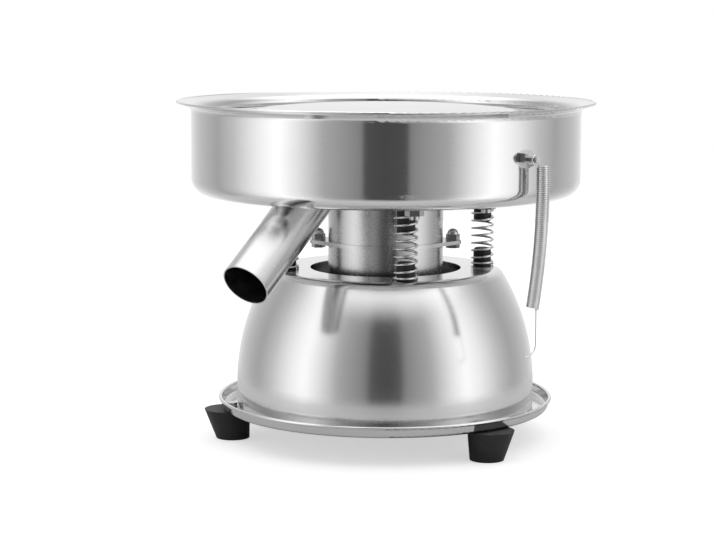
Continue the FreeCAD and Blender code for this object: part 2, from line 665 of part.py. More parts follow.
def ear_cap_nut(side):
    """Domed nut on top of an ear, blind above the bolt's tip."""
    seat = ear_place(side, MOTOR_JOINT + EAR_FLANGE)
    body = hexagon(M6["flats"], M6["nut"], seat)
    crown_radius = M6["flats"] / 2 * CAP_NUT_CROWN
    crown = Part.makeSphere(crown_radius, seat + UP * M6["nut"], UP, 0, 90, 360)
    return fuse([body, crown]).cut(cylinder(M6["shank"], M6["nut"], seat))


def stator_core():
    """Laminated ring seated in both cups."""
    bore = ROTOR_RADIUS + AIR_GAP
    return tube(MOTOR_INNER_RADIUS, bore, STATOR_TOP - STATOR_BOTTOM, flat_point(0, STATOR_BOTTOM))


def winding(bottom):
    """End turns of the coils, as one taped ring with bevelled edges."""
    bevel = WINDING_HEIGHT * WINDING_BEVEL
    top = bottom + WINDING_HEIGHT
    return turned([(WINDING_INNER, bottom), (WINDING_OUTER - bevel, bottom), (WINDING_OUTER, bottom + bevel),
                   (WINDING_OUTER, top - bevel), (WINDING_OUTER - bevel, top), (WINDING_INNER, top)])


def end_bracket(plate_bottom, boss_bottom, seat_bottom):
    """Plate across the cup with a boss that holds a bearing."""
    plate = cylinder(MOTOR_INNER_RADIUS, BRACKET_PLATE, flat_point(0, plate_bottom))
    boss = cylinder(BRACKET_BOSS_RADIUS, BRACKET_BOSS, flat_point(0, boss_bottom))
    seat = cylinder(BEARING_RADIUS, BEARING_WIDTH, flat_point(0, seat_bottom))
    through = cylinder(SHAFT_RADIUS + BRACKET_SHAFT_CLEARANCE, 4 * BRACKET_BOSS,
                       flat_point(0, boss_bottom - BRACKET_BOSS))
    return fuse([plate, boss]).cut(seat).cut(through)


def upper_end_bracket():
    boss_bottom = UPPER_BRACKET_TOP - BRACKET_BOSS
    return end_bracket(UPPER_BRACKET_TOP - BRACKET_PLATE, boss_bottom, boss_bottom)


def lower_end_bracket():
    seat_bottom = LOWER_BRACKET_BOTTOM + BRACKET_BOSS - BEARING_WIDTH
    return end_bracket(LOWER_BRACKET_BOTTOM, LOWER_BRACKET_BOTTOM, seat_bottom)


def bearing(bottom):
    """Ball bearing as one ring with its shield grooves."""
    ring = tube(BEARING_RADIUS, SHAFT_RADIUS + SHAFT_FIT, BEARING_WIDTH, flat_point(0, bottom))
    middle = (BEARING_RADIUS + SHAFT_RADIUS) / 2
    half = BEARING_GROOVE_WIDTH / 2
    for level in (bottom, bottom + BEARING_WIDTH - BEARING_GROOVE_DEPTH):
        ring = ring.cut(tube(middle + half, middle - half, BEARING_GROOVE_DEPTH, flat_point(0, level)))
    return ring


def rotor_core():
    middle = (STATOR_TOP + STATOR_BOTTOM) / 2
    return tube(ROTOR_RADIUS, SHAFT_RADIUS, ROTOR_LENGTH, flat_point(0, middle - ROTOR_LENGTH / 2))


def rotor_shaft():
    shaft = cylinder(SHAFT_RADIUS, SHAFT_TOP - SHAFT_BOTTOM, flat_point(0, SHAFT_BOTTOM))
    ends = [e for e in shaft.Edges if isinstance(e.Curve, Part.Circle)]
    return shaft.makeChamfer(SHAFT_CHAMFER, ends)


def eccentric_weight(bottom, azimuth):
    """Half disc with a hub, clamped on the shaft by a set screw."""
    disc = cylinder(WEIGHT_RADIUS, WEIGHT_HEIGHT, flat_point(0, bottom))
    half = Part.makeBox(2 * WEIGHT_RADIUS, WEIGHT_RADIUS, WEIGHT_HEIGHT)
    half.translate(FreeCAD.Vector(-WEIGHT_RADIUS, 0, bottom))
    disc = disc.cut(half)
    hub = cylinder(WEIGHT_HUB_RADIUS, WEIGHT_HEIGHT, flat_point(0, bottom))
    weight = fuse([disc, hub]).cut(cylinder(SHAFT_RADIUS, WEIGHT_HEIGHT, flat_point(0, bottom)))
    weight = weight.cut(cylinder(M4["shank"], WEIGHT_HUB_RADIUS, flat_point(0, bottom + WEIGHT_HEIGHT / 2),
                                 FreeCAD.Vector(0, 1, 0)))
    weight.rotate(ORIGIN, UP, azimuth)
    return weight


def weight_screw(bottom, azimuth):
    """Set screw in the hub, its tip on the shaft."""
    axis = outward(azimuth + 180.0)
    start = flat_point(0, bottom + WEIGHT_HEIGHT / 2) + axis * SHAFT_RADIUS
    return cylinder(M4["shank"], WEIGHT_HUB_RADIUS - SHAFT_RADIUS, start, axis)


# ---------------------------------------------------------------- sieve and lid
def mesh_height():
    return HOOP_BOTTOM + MESH_HEIGHT


def sieve_hoop():
    """Sieve wall: straight band with a beaded top and an inner seat for the mesh."""
    inner = HOOP_RADIUS - SIEVE_SHEET
    band = tube(HOOP_RADIUS, inner, HOOP_HEIGHT, flat_point(0, HOOP_BOTTOM))
    ring = HOOP_RADIUS - SIEVE_SHEET / 2
    top_bead = bead(ring, HOOP_BEAD_RADIUS, HOOP_TOP - HOOP_BEAD_RADIUS)
    level = mesh_height()
    seat = tube(inner, inner - MESH_SEAT_WIDTH, SIEVE_SHEET, flat_point(0, level - SIEVE_SHEET))
    return fuse([band, top_bead, seat])


def sieve_mesh():
    """Woven wire cloth stretched over the seat, as a thin disc."""
    radius = HOOP_RADIUS - SIEVE_SHEET - MESH_FIT
    return cylinder(radius, MESH_THICKNESS, flat_point(0, mesh_height()))


def mesh_clamp_ring():
    """Flat ring that presses the mesh on its seat."""
    outer = HOOP_RADIUS - SIEVE_SHEET
    return tube(outer, outer - CLAMP_WIDTH, CLAMP_THICKNESS, flat_point(0, mesh_height() + MESH_THICKNESS))


def sieve_lid():
    """Pressed lid: rim on the hoop, step that locates it, raised and crowned centre."""
    rim = HOOP_TOP + LID_SEAT_GAP
    step_radius = HOOP_RADIUS - SIEVE_SHEET - HOOP_BEAD_RADIUS - LID_STEP_CLEARANCE
    gutter = rim - LID_STEP
    crown_edge = LID_CROWN_TOP - LID_CROWN_SLOPE * LID_CROWN_RADIUS / 2 - LID_SHEET
    knee = LID_CROWN_RADIUS / 2
    points = [(0, LID_CROWN_TOP - LID_SHEET), (knee, LID_CROWN_TOP - LID_SHEET),
              (LID_CROWN_RADIUS - LID_SHEET, crown_edge), (LID_CROWN_RADIUS, gutter),
              (step_radius, gutter), (step_radius + LID_SHEET, rim), (LID_RIM_RADIUS, rim)]
    crown_bend = (knee - LID_CROWN_FLAT) / tan(atan2(LID_CROWN_SLOPE, 1) / 2)
    bends = [crown_bend, LID_SHOULDER_BEND - LID_SHEET, LID_GUTTER_BEND, LID_STEP_BEND, LID_RIM_BEND]
    return turned_sheet(points, bends, LID_SHEET)


# ---------------------------------------------------------------- hold-down spring
def hanger_point(side, drop):
    """Point in the plane of the hanging spring: side along the wall, drop below the stud."""
    pivot = polar(STUD_AZIMUTH, PAN_RADIUS + HANGER_REACH, STUD_HEIGHT)
    return pivot + sideways(STUD_AZIMUTH) * side + DOWN * drop


def wire_along(edges, radius):
    """Round wire swept along tangent edges."""
    path = Part.Wire(edges)
    start = path.OrderedVertexes[0].Point
    first = path.OrderedEdges[0]
    direction = first.tangentAt(first.FirstParameter)
    section = Part.Wire(Part.makeCircle(radius, start, direction))
    return path.makePipeShell([section], True, False)


def hold_down_spring():
    """Close-wound extension spring: body as its outer shape, top loop and long wire hook."""
    loop_radius = M5["shank"] + HANGER_LOOP_CLEARANCE + HANGER_WIRE / 2
    body_side = loop_radius + HANGER_RADIUS - HANGER_WIRE / 2
    body_top = loop_radius + HANGER_WIRE
    body_end = body_top + HANGER_LENGTH
    top = hanger_point(body_side, body_top)
    middle = hanger_point(body_side + HANGER_BOW - HANGER_DRIFT / 2, (body_top + body_end) / 2)
    bottom = hanger_point(body_side - HANGER_DRIFT, body_end)
    body_path = Part.Arc(top, middle, bottom).toShape()
    body = wire_along([body_path], HANGER_RADIUS)
    diagonal = loop_radius / sqrt(2)
    loop_start, loop_end = hanger_point(0, loop_radius), hanger_point(loop_radius, 0)
    neck_end = hanger_point(loop_radius, body_top + HANGER_WIRE)
    loop = wire_along([Part.Arc(loop_start, hanger_point(-diagonal, -diagonal), loop_end).toShape(),
                       Part.LineSegment(loop_end, neck_end).toShape()], HANGER_WIRE / 2)
    hook_side = body_side - HANGER_DRIFT + HANGER_RADIUS - HOOK_WIRE
    hook_top = hanger_point(hook_side, body_end - HOOK_WIRE)
    hook_knee = hanger_point(hook_side, body_end + HOOK_DROP)
    hook_low = hanger_point(hook_side - HOOK_BEND, body_end + HOOK_DROP + HOOK_BEND)
    half = HOOK_BEND * (1 - 1 / sqrt(2))
    hook_mid = hanger_point(hook_side - half, body_end + HOOK_DROP + HOOK_BEND - half)
    tip = hanger_point(hook_side - HOOK_BEND - HOOK_BEND / 2, body_end + HOOK_DROP + HOOK_BEND)
    hook = wire_along([Part.LineSegment(hook_top, hook_knee).toShape(),
                       Part.Arc(hook_knee, hook_mid, hook_low).toShape(),
                       Part.LineSegment(hook_low, tip).toShape()], HOOK_WIRE / 2)
    return fuse([body, loop, hook])


# ---------------------------------------------------------------- assembly
def build():
    nodes = {
        "base_tray": base_tray(),
        "base_dome": base_dome(),
        "cord_grommet": cord_grommet(),
        "capacitor": capacitor(),
        "capacitor_clip": capacitor_clip(),
        "capacitor_screw": pan_screw(M4, BASE_SHEET + CLIP_THICKNESS + BOLT_TIP,
                                     capacitor_screw_place(TRAY_TOP_FACE + CLIP_THICKNESS), DOWN),
        "dome_screws": group([pan_screw(M4, 2 * BASE_SHEET + M4["nut"],
                                        polar(a, DOME_SCREW_PITCH, FOOT_HEIGHT), UP)
                              for a in dome_screw_azimuths()]),
        "dome_nuts": group([hex_nut(M4, polar(a, DOME_SCREW_PITCH, TRAY_TOP_FACE + BASE_SHEET), UP)
                            for a in dome_screw_azimuths()]),
        "foot_screws": group([pan_screw(M5, FOOT_HEIGHT - FOOT_RECESS_DEPTH + BASE_SHEET + M5["nut"],
                                        foot_screw_place(a, FOOT_RECESS_DEPTH), UP)
                              for a in FOOT_AZIMUTHS]),
        "foot_nuts": group([hex_nut(M5, foot_screw_place(a, TRAY_TOP_FACE), UP) for a in FOOT_AZIMUTHS]),
        "lower_plug_studs": group([plug_stud(a, DOME_TOP, DOWN, BASE_SHEET) for a in SPRING_AZIMUTHS]),
        "lower_plug_nuts": group([hex_nut(M6, polar(a, SPRING_PITCH_RADIUS, DOME_TOP - BASE_SHEET), DOWN)
                                  for a in SPRING_AZIMUTHS]),
        "sieve_pan": sieve_pan(),
        "discharge_chute": discharge_chute(),
        "upper_plug_studs": group([plug_stud(a, PAN_BOTTOM, UP, PAN_SHEET) for a in SPRING_AZIMUTHS]),
        "upper_plug_nuts": group([hex_nut(M6, polar(a, SPRING_PITCH_RADIUS, PAN_FLOOR), UP)
                                  for a in SPRING_AZIMUTHS]),
        "floor_bolts": group([floor_bolt(a, r) for a, r in FLOOR_BOLTS]),
        "floor_washers": group([w for a, r in FLOOR_BOLTS for w in floor_washers(a, r)]),
        "floor_nuts": group([hex_nut(M8, polar(a, r, PAN_BOTTOM - WASHER_THICKNESS), DOWN)
                             for a, r in FLOOR_BOLTS]),
        "wall_studs": group([wall_stud(a) for a in stud_azimuths()]),
        "wall_stud_nuts": group([wall_stud_nut(a) for a in stud_azimuths()]),
        "motor_upper_shell": motor_upper_shell(),
        "motor_lower_shell": motor_lower_shell(),
        "motor_screws": group([pan_screw(M5, PAN_SHEET + MOTOR_SHEET + M5["nut"],
                                         polar(a, MOTOR_SCREW_PITCH, PAN_FLOOR), DOWN)
                               for a in motor_screw_azimuths()]),
        "motor_nuts": group([hex_nut(M5, polar(a, MOTOR_SCREW_PITCH, PAN_BOTTOM - MOTOR_SHEET), DOWN)
                             for a in motor_screw_azimuths()]),
        "ear_bolts": group([ear_bolt(side) for side in (-1, 1)]),
        "ear_cap_nuts": group([ear_cap_nut(side) for side in (-1, 1)]),
        "stator_core": stator_core(),
        "upper_winding": winding(STATOR_TOP),
        "lower_winding": winding(STATOR_BOTTOM - WINDING_HEIGHT),
        "upper_end_bracket": upper_end_bracket(),
        "lower_end_bracket": lower_end_bracket(),
        "upper_bearing": bearing(UPPER_BRACKET_TOP - BRACKET_BOSS),
        "lower_bearing": bearing(LOWER_BRACKET_BOTTOM + BRACKET_BOSS - BEARING_WIDTH),
        "rotor_shaft": rotor_shaft(),
        "rotor_core": rotor_core(),
        "upper_eccentric_weight": eccentric_weight(UPPER_WEIGHT_BOTTOM, 0.0),
        "lower_eccentric_weight": eccentric_weight(LOWER_WEIGHT_BOTTOM, WEIGHT_LEAD),
        "weight_screws": group([weight_screw(UPPER_WEIGHT_BOTTOM, 0.0),
                                weight_screw(LOWER_WEIGHT_BOTTOM, WEIGHT_LEAD)]),
        "sieve_hoop": sieve_hoop(),
        "sieve_mesh": sieve_mesh(),
        "mesh_clamp_ring": mesh_clamp_ring(),
        "sieve_lid": sieve_lid(),
        "hold_down_spring": hold_down_spring(),
    }
    for number, azimuth in enumerate(FOOT_AZIMUTHS, 1):
        nodes["rubber_foot_%d" % number] = foot(azimuth)
    for number, azimuth in enumerate(SPRING_AZIMUTHS, 1):
        nodes["lower_plug_%d" % number] = lower_plug(azimuth)
        nodes["upper_plug_%d" % number] = upper_plug(azimuth)
        nodes["support_spring_%d" % number] = support_spring(azimuth)
    return nodes


os.makedirs("parts", exist_ok=True)
for name, shape in build().items():
    shape.exportStep("parts/%s.step" % name)
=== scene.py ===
import bpy
import math
from mathutils import Matrix, Vector


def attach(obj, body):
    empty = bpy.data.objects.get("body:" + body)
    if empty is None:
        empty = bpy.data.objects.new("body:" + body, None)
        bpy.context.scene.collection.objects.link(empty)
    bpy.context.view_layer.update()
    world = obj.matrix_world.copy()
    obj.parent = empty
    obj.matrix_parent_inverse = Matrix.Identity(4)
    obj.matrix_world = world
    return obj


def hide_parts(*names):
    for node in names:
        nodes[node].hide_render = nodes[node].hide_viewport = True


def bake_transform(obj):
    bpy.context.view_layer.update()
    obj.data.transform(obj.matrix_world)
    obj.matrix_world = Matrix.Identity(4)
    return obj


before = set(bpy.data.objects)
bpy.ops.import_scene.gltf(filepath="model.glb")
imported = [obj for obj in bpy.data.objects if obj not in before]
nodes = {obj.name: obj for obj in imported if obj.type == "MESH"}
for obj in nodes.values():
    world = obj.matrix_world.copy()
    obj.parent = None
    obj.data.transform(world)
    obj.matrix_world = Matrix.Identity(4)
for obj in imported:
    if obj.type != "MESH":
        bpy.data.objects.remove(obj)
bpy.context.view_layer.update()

# ------------------------------------------------------------ dimensions, in metres
DOME_TOP = 0.1385
PAN_BOTTOM = 0.2
SPRING_GAP = 0.0003
SPRING_PITCH_RADIUS = 0.0815
SPRING_AZIMUTHS = [11.2 + 90.0 * i for i in range(4)]
SPRING_RADIUS = 0.0097
SPRING_WIRE = 0.0019
SPRING_OPEN_TURNS = 9
SPRING_CLOSED_TURNS = 1
SPRING_CLOSED_PITCH = 0.00194

STUD_AZIMUTH = 42.0
STUD_RADIUS = 0.1685
STUD_HEIGHT = 0.237
HANGER_RADIUS = 0.00525
HANGER_WIRE = 0.0014
HANGER_PITCH = 0.00143
HANGER_LOOP_RADIUS = 0.00355
HANGER_LENGTH = 0.108
HANGER_BOW = 0.0035
HANGER_DRIFT = 0.0095
HOOK_WIRE = 0.0012
HOOK_DROP = 0.028
HOOK_BEND = 0.009
HOOK_START = 0.001

COIL_STEPS, COIL_SIDES = 36, 10
HANGER_STEPS, HANGER_SIDES = 22, 8
LOOP_STEPS, HOOK_STEPS, BEND_STEPS = 28, 9, 12
LOOP_SWEEP = 1.5 * math.pi

CLOTH_PITCH = 0.0012
CLOTH_WIRE_SHARE = 0.2
LAMINATION_PITCH = 0.001

FLOOR_RADIUS = 1.6
FLOOR_LEVEL = -0.0002
FLOOR_SIDES = 96

CAMERA_PLACE = (0.0, -1.654, 0.3595)
CAMERA_DOWN = 7.30
CAMERA_ROLL = 0.0045
CAMERA_LENS, CAMERA_SENSOR = 102.2, 36.0
CAMERA_SHIFT = (-0.0385, -0.0199)
CAMERA_CLIP = (0.05, 50.0)


# ------------------------------------------------------------ node helpers
class Tree:
    """Short calls for building a node tree."""

    def __init__(self, tree):
        self.tree = tree
        tree.nodes.clear()

    def add(self, kind, **inputs):
        node = self.tree.nodes.new(kind)
        for key, value in inputs.items():
            setattr(node, key, value)
        return node

    def link(self, a, b):
        self.tree.links.new(a, b)

    def feed(self, socket, value):
        if isinstance(value, bpy.types.NodeSocket):
            self.link(value, socket)
        else:
            socket.default_value = value

    def math(self, operation, a, b=0.0, clamp=False):
        node = self.add("ShaderNodeMath", operation=operation, use_clamp=clamp)
        self.feed(node.inputs[0], a)
        self.feed(node.inputs[1], b)
        return node.outputs[0]

    def ramp(self, value, stops, interpolation="LINEAR"):
        node = self.add("ShaderNodeValToRGB")
        node.color_ramp.interpolation = interpolation
        elements = node.color_ramp.elements
        while len(elements) < len(stops):
            elements.new(0.5)
        for element, (place, colour) in zip(elements, stops):
            element.position = place
            element.color = (*colour, 1.0) if isinstance(colour, tuple) else (colour,) * 3 + (1.0,)
        self.feed(node.inputs[0], value)
        return node.outputs[0]

    def noise(self, vector, scale, detail=2.0, roughness=0.5):
        node = self.add("ShaderNodeTexNoise")
        self.link(vector, node.inputs["Vector"])
        node.inputs["Scale"].default_value = scale
        node.inputs["Detail"].default_value = detail
        node.inputs["Roughness"].default_value = roughness
        return node.outputs["Fac"]

    def map_range(self, value, low, high):
        node = self.add("ShaderNodeMapRange")
        self.link(value, node.inputs[0])
        node.inputs[3].default_value = low
        node.inputs[4].default_value = high
        return node.outputs[0]

    def combine(self, x, y, z):
        node = self.add("ShaderNodeCombineXYZ")
        for socket, value in zip(node.inputs, (x, y, z)):
            self.feed(socket, value)
        return node.outputs[0]

    def separate(self, vector):
        node = self.add("ShaderNodeSeparateXYZ")
        self.link(vector, node.inputs[0])
        return node.outputs

    def bump(self, height, strength, distance):
        node = self.add("ShaderNodeBump")
        node.inputs["Strength"].default_value = strength
        node.inputs["Distance"].default_value = distance
        self.link(height, node.inputs["Height"])
        return node.outputs[0]


def new_material(name):
    material = bpy.data.materials.new(name)
    material.use_nodes = True
    t = Tree(material.node_tree)
    output = t.add("ShaderNodeOutputMaterial")
    shader = t.add("ShaderNodeBsdfPrincipled")
    t.link(shader.outputs[0], output.inputs[0])
    return material, t, shader


def object_coordinates(t):
    return t.add("ShaderNodeTexCoord").outputs["Object"]


def turned_coordinates(t):
    """Coordinates that run along a spun sheet: radius and height finely, azimuth coarsely."""
    x, y, z = t.separate(object_coordinates(t))
    radius = t.math("SQRT", t.math("ADD", t.math("MULTIPLY", x, x), t.math("MULTIPLY", y, y)))
    azimuth = t.math("ARCTAN2", x, y)
    around = t.math("ABSOLUTE", azimuth)
    return t.combine(radius, z, t.math("MULTIPLY", around, 0.02))


def brushed_metal(name, colour, roughness, spun=True, grain=1800.0, spread=0.06, relief=0.12, shade=0.05):
    """Satin sheet metal with fine grain lines, slight waves of tone and small scuffs."""
    material, t, shader = new_material(name)
    place = turned_coordinates(t) if spun else object_coordinates(t)
    lines = t.noise(place, grain, 3.0, 0.6)
    broad = t.noise(object_coordinates(t), 14.0, 2.0)
    scuffs = t.noise(object_coordinates(t), 260.0, 4.0, 0.7)
    tone = t.math("ADD", t.map_range(lines, -shade, shade), t.map_range(broad, -shade, shade))
    mixed = t.add("ShaderNodeHueSaturation")
    mixed.inputs["Color"].default_value = (*colour, 1.0)
    t.link(t.math("ADD", tone, 1.0), mixed.inputs["Value"])
    t.link(mixed.outputs[0], shader.inputs["Base Color"])
    shader.inputs["Metallic"].default_value = 1.0
    rough = t.math("ADD", t.map_range(lines, roughness - spread, roughness + spread),
                   t.map_range(scuffs, -0.02, 0.03), clamp=True)
    t.link(rough, shader.inputs["Roughness"])
    if relief:
        t.link(t.bump(lines, relief, 0.00002), shader.inputs["Normal"])
    return material


def rubber(name, colour=(0.012, 0.012, 0.013)):
    """Moulded rubber: near-black, dusty, with a fine matt skin."""
    material, t, shader = new_material(name)
    place = object_coordinates(t)
    dust = t.noise(place, 60.0, 4.0, 0.6)
    grain = t.noise(place, 2500.0, 2.0)
    dusty = tuple(c * 2.2 for c in colour)
    t.link(t.ramp(dust, [(0.35, colour), (0.8, dusty)]), shader.inputs["Base Color"])
    t.link(t.map_range(grain, 0.45, 0.62), shader.inputs["Roughness"])
    shader.inputs["Specular IOR Level"].default_value = 0.45
    t.link(t.bump(grain, 0.25, 0.00005), shader.inputs["Normal"])
    return material


def plain_metal(name, colour, roughness):
    return brushed_metal(name, colour, roughness, spun=False, grain=600.0, spread=0.04, relief=0.05)


def wire_cloth(name):
    """Woven wire: two crossed sets of round wires with open squares between them."""
    material, t, shader = new_material(name)
    x, y, z = t.separate(object_coordinates(t))
    crossing = []
    for along in (x, y):
        phase = t.math("FRACT", t.math("DIVIDE", along, CLOTH_PITCH))
        crossing.append(t.math("ABSOLUTE", t.math("SUBTRACT", phase, 0.5)))
    nearest = t.math("MINIMUM", crossing[0], crossing[1])
    wire = t.math("LESS_THAN", nearest, CLOTH_WIRE_SHARE)
    shader.inputs["Base Color"].default_value = (0.6, 0.6, 0.59, 1.0)
    shader.inputs["Metallic"].default_value = 1.0
    shader.inputs["Roughness"].default_value = 0.3
    t.link(wire, shader.inputs["Alpha"])
    t.link(t.bump(t.math("SUBTRACT", 0.5, nearest), 0.6, 0.0004), shader.inputs["Normal"])
    return material


def painted(name, colour, roughness):
    material, t, shader = new_material(name)
    place = object_coordinates(t)
    tone = t.noise(place, 90.0, 3.0)
    shaded = tuple(c * 0.9 for c in colour)
    t.link(t.ramp(tone, [(0.3, shaded), (0.8, colour)]), shader.inputs["Base Color"])
    skin = t.noise(place, 900.0)
    t.link(t.map_range(skin, roughness - 0.05, roughness + 0.08), shader.inputs["Roughness"])
    return material


def laminations(name):
    """Stack of thin steel sheets: fine level lines."""
    material, t, shader = new_material(name)
    x, y, z = t.separate(object_coordinates(t))
    phase = t.math("MULTIPLY", z, 2 * math.pi / LAMINATION_PITCH)
    lines = t.math("ABSOLUTE", t.math("SINE", phase))
    t.link(t.ramp(lines, [(0.0, 0.12), (0.5, 0.32)]), shader.inputs["Base Color"])
    shader.inputs["Metallic"].default_value = 1.0
    shader.inputs["Roughness"].default_value = 0.42
    t.link(t.bump(lines, 0.3, 0.0001), shader.inputs["Normal"])
    return material


MATERIALS = {
    "pan": brushed_metal("pan_steel", (0.80, 0.80, 0.80), 0.10),
    "dome": brushed_metal("dome_steel", (0.78, 0.78, 0.78), 0.17),
    "tray": brushed_metal("tray_steel", (0.76, 0.76, 0.76), 0.12),
    "lid": brushed_metal("lid_steel", (0.78, 0.78, 0.78), 0.16),
    "chute": brushed_metal("chute_steel", (0.66, 0.66, 0.66), 0.20, spun=False, grain=500.0),
    "motor": brushed_metal("motor_steel", (0.62, 0.62, 0.62), 0.26),
    "fastener": plain_metal("zinc_steel", (0.62, 0.62, 0.62), 0.22),
    "spring": plain_metal("spring_wire", (0.78, 0.78, 0.78), 0.16),
    "rubber": rubber("black_rubber"),
    "cloth": wire_cloth("wire_cloth"),
    "capacitor": painted("capacitor_case", (0.75, 0.75, 0.72), 0.4),
    "laminated": laminations("laminated_steel"),
    "copper": plain_metal("enamelled_copper", (0.55, 0.22, 0.09), 0.35),
    "casting": painted("cast_metal", (0.36, 0.36, 0.37), 0.5),
    "bearing": plain_metal("bearing_steel", (0.7, 0.7, 0.7), 0.15),
}

FINISH = {
    "base_tray": "tray", "base_dome": "dome", "sieve_pan": "pan", "discharge_chute": "chute",
    "sieve_hoop": "lid", "sieve_lid": "lid", "mesh_clamp_ring": "lid", "sieve_mesh": "cloth",
    "motor_upper_shell": "motor", "motor_lower_shell": "motor", "capacitor_clip": "motor",
    "capacitor": "capacitor", "cord_grommet": "rubber", "stator_core": "laminated",
    "rotor_core": "laminated", "upper_winding": "copper", "lower_winding": "copper",
    "upper_end_bracket": "casting", "lower_end_bracket": "casting",
    "upper_eccentric_weight": "casting", "lower_eccentric_weight": "casting",
    "upper_bearing": "bearing", "lower_bearing": "bearing", "rotor_shaft": "bearing",
    "hold_down_spring": "spring",
}
PREFIXES = {"rubber_foot": "rubber", "lower_plug_": "rubber", "upper_plug_": "rubber",
            "support_spring": "spring"}


def finish_of(name):
    """Finish of a CAD node: by its name, then by its numbered family, else a fastener."""
    if name in FINISH:
        return FINISH[name]
    for prefix, finish in PREFIXES.items():
        if name.startswith(prefix) and name[-1].isdigit():
            return finish
    return "fastener"


for name, obj in nodes.items():
    for slot in obj.material_slots:
        slot.material = MATERIALS[finish_of(name)]


# ------------------------------------------------------------ wire pieces
def polar(azimuth, radius, height):
    """Point at an azimuth from the front, a radius and a height."""
    a = math.radians(azimuth)
    return Vector((radius * math.sin(a), -radius * math.cos(a), height))


def tube_mesh(name, points, radius, sides=8, up=Vector((0, 0, 1))):
    """Round wire along points, closed at both ends."""
    vertices, faces = [], []
    normal = None
    for i, point in enumerate(points):
        ahead = points[min(i + 1, len(points) - 1)] - points[max(i - 1, 0)]
        tangent = ahead.normalized()
        if normal is None:
            normal = tangent.cross(up).normalized()
        normal = (normal - tangent * normal.dot(tangent)).normalized()
        side = tangent.cross(normal)
        for k in range(sides):
            a = 2 * math.pi * k / sides
            vertices.append(point + (normal * math.cos(a) + side * math.sin(a)) * radius)
    for i in range(len(points) - 1):
        for k in range(sides):
            a, b = i * sides + k, i * sides + (k + 1) % sides
            faces.append((a, b, b + sides, a + sides))
    faces.append(tuple(range(sides))[::-1])
    last = (len(points) - 1) * sides
    faces.append(tuple(range(last, last + sides)))
    mesh = bpy.data.meshes.new(name)
    mesh.from_pydata([tuple(v) for v in vertices], [], faces)
    mesh.validate()
    for polygon in mesh.polygons:
        polygon.use_smooth = len(polygon.vertices) == 4
    obj = bpy.data.objects.new(name, mesh)
    bpy.context.scene.collection.objects.link(obj)
    return obj


def support_coil(number, azimuth):
    """Compression spring of round wire with a closed turn at each end."""
    half = SPRING_WIRE / 2
    centre = polar(azimuth, SPRING_PITCH_RADIUS, DOME_TOP)
    height = PAN_BOTTOM - SPRING_GAP - DOME_TOP
    turns = SPRING_OPEN_TURNS + 2 * SPRING_CLOSED_TURNS
    closed = 2 * SPRING_CLOSED_TURNS * SPRING_CLOSED_PITCH
    pitch = (height - SPRING_WIRE - closed) / SPRING_OPEN_TURNS
    ring = SPRING_RADIUS - half
    points = []
    for i in range(turns * COIL_STEPS + 1):
        t = i / COIL_STEPS
        opened = min(max(t - SPRING_CLOSED_TURNS, 0), SPRING_OPEN_TURNS)
        z = half + SPRING_CLOSED_PITCH * (t - opened) + pitch * opened
        a = 2 * math.pi * t
        points.append(centre + Vector((ring * math.cos(a), ring * math.sin(a), z)))
    coil = tube_mesh("support_coil_%d" % number, points, half, COIL_SIDES)
    coil.data.materials.append(MATERIALS["spring"])
    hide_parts("support_spring_%d" % number)
    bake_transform(coil)


def hanger_point(side, drop):
    """Point in the hanging spring's plane: side along the wall, drop below the stud."""
    a = math.radians(STUD_AZIMUTH)
    pivot = polar(STUD_AZIMUTH, STUD_RADIUS, STUD_HEIGHT)
    return pivot + Vector((math.cos(a), math.sin(a), 0)) * side + Vector((0, 0, -1)) * drop


def circle_through(a, b, c):
    """Centre of the circle through three points of a plane, as (side, drop) pairs."""
    d = 2 * (a[0] * (b[1] - c[1]) + b[0] * (c[1] - a[1]) + c[0] * (a[1] - b[1]))
    squares = [p[0] ** 2 + p[1] ** 2 for p in (a, b, c)]
    x = (squares[0] * (b[1] - c[1]) + squares[1] * (c[1] - a[1]) + squares[2] * (a[1] - b[1])) / d
    y = (squares[0] * (c[0] - b[0]) + squares[1] * (a[0] - c[0]) + squares[2] * (b[0] - a[0])) / d
    return x, y


